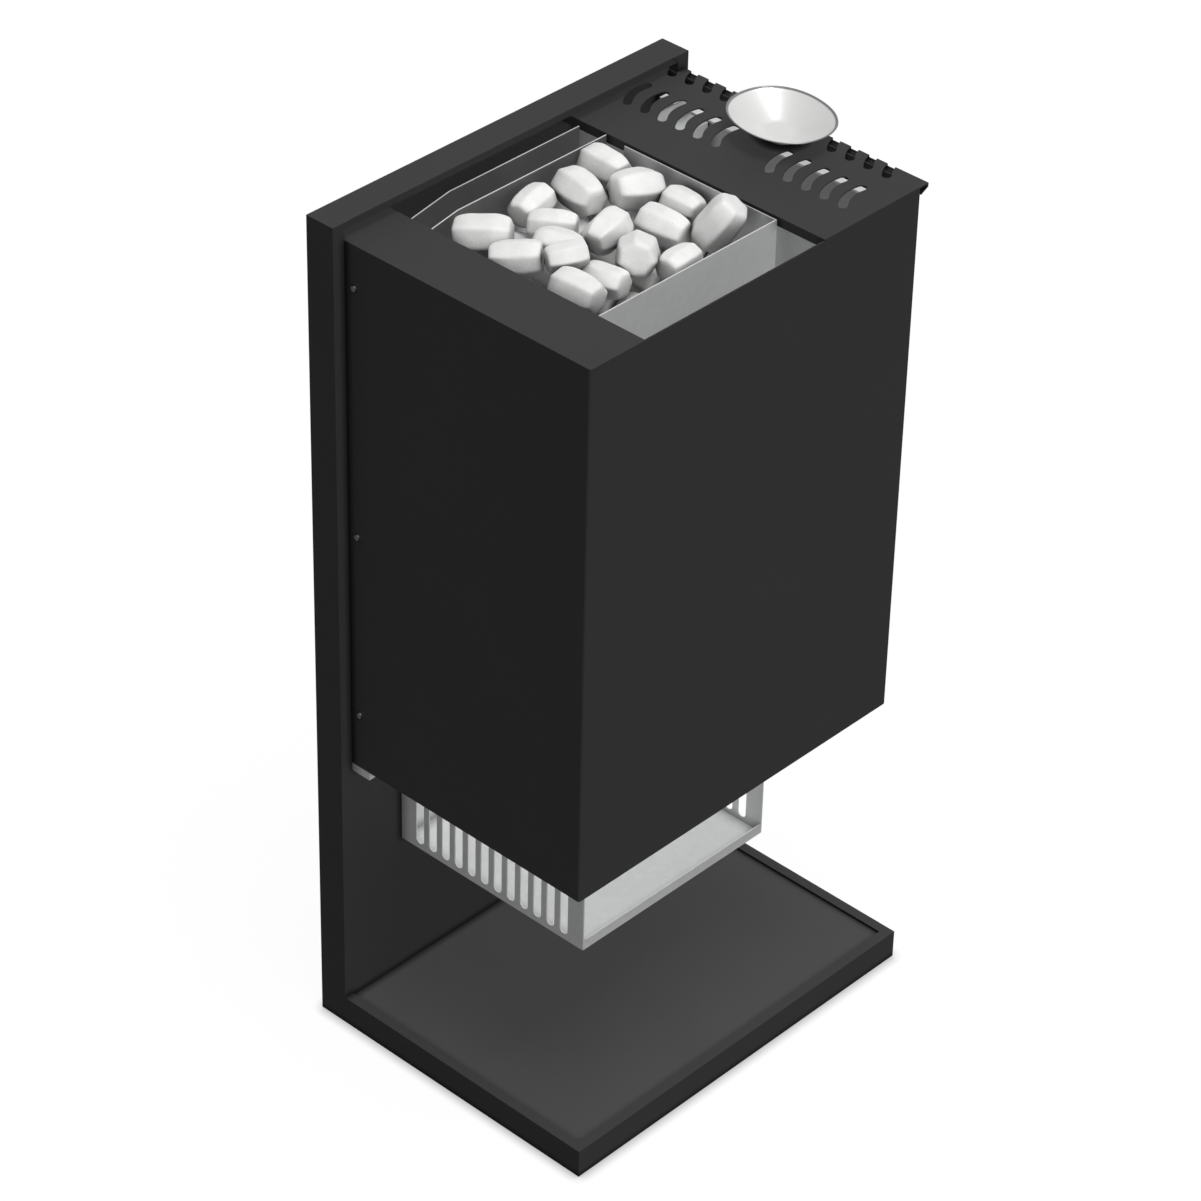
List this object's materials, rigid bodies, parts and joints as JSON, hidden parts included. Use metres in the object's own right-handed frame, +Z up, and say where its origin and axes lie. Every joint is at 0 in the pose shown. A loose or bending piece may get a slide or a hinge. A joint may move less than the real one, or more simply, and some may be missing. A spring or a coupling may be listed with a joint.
{
  "type": "sauna heater stove",
  "caption": "Tall floor-standing electric sauna heater in a folded black stand, with an open pile of stones, a slotted steam evaporator cover, an air inlet tray and a lift-off oval aroma bowl",
  "frame": {"origin": "The middle of the stand's underside, on the floor.", "axes": "X to the right as seen from the front, Y to the back towards the wall, Z up."},
  "size_m": [0.5218, 0.39, 1.0165],
  "materials": {
    "black_steel": "fine matte black powder coat",
    "galvanised": null,
    "heated_steel": "heat-darkened bare steel",
    "stainless": "plain stainless steel",
    "polished_steel": "polished stainless steel",
    "stone": null,
    "brass": "plain brass",
    "copper": "drawn copper",
    "ceramic_insulator": "unglazed ceramic insulator",
    "black_plastic": "moulded black plastic",
    "float_plastic": "moulded white plastic",
    "gasket": "black gasket rubber",
    "red_lever": "red dipped lever",
    "red_button": "red plastic button"
  },
  "bodies": {
    "heater": {"stand_back_panel": "black_steel", "stand_base_tray": "black_steel", "stand_floor_plate": "black_steel", "stand_rails": "galvanised", "stand_bolts": "galvanised", "hanging_rail": "galvanised", "hanging_rail_screws": "galvanised", "hanger_hooks": "galvanised", "back_plate": "black_steel", "outer_casing": "black_steel", "casing_screws": "stainless", "bottom_plate": "galvanised", "lower_spacers": "galvanised", "steam_cover": "black_steel", "partition_wall": "galvanised", "stone_box": "galvanised", "grate_ledges": "galvanised", "stone_grate": "heated_steel", "sauna_stones": "stone", "heating_element_left": "heated_steel", "heating_element_middle": "heated_steel", "heating_element_right": "heated_steel", "element_nuts": "brass", "inner_rear_shield": "heated_steel", "outer_rear_shield": "heated_steel", "shield_spacers": "galvanised", "shield_screws": "galvanised", "left_heat_shield": "galvanised", "right_heat_shield": "galvanised", "side_standoffs": "galvanised", "air_inlet_tray": "galvanised", "tray_screws": "stainless", "tank_shelf": "galvanised", "shelf_screws": "stainless", "evaporator_tank": "stainless", "evaporator_element": "stainless", "element_gasket": "gasket", "float_stem": "stainless", "stem_clip": "stainless", "drain_pipe": "brass", "drain_valve_body": "brass", "hose_tail": "brass", "terminal_box": "galvanised", "terminal_box_cover": "galvanised", "terminal_cover_screws": "stainless", "terminal_block": "ceramic_insulator", "wire_conduit": "galvanised", "cable_gland": "black_plastic", "gland_locknut": "black_plastic", "thermal_cutout": "ceramic_insulator", "heat_sensor": "copper"},
    "bowl": {"aroma_bowl": "polished_steel"},
    "float": {"level_float": "float_plastic"},
    "valve": {"drain_plug": "stainless", "drain_lever": "red_lever", "plug_nut": "galvanised"},
    "button": {"reset_button": "red_button"}
  },
  "joints": [
    {"name": "bowl_lift", "type": "slide", "parent": "heater", "child": "bowl", "axis": [0, 0, 1], "range_m": [0, 0.12]},
    {"name": "float_rise", "type": "slide", "parent": "heater", "child": "float", "axis": [0, 0, 1], "range_m": [0, 0.07]},
    {"name": "valve_turn", "type": "hinge", "parent": "heater", "child": "valve", "pos_m": [0.192, -0.02, 0.316], "axis": [1, 0, 0], "range_deg": [0, 90]},
    {"name": "button_press", "type": "slide", "parent": "heater", "child": "button", "axis": [0, 0, 1], "range_m": [0, 0.0025], "stiffness_N_per_m": 400}
  ]
}
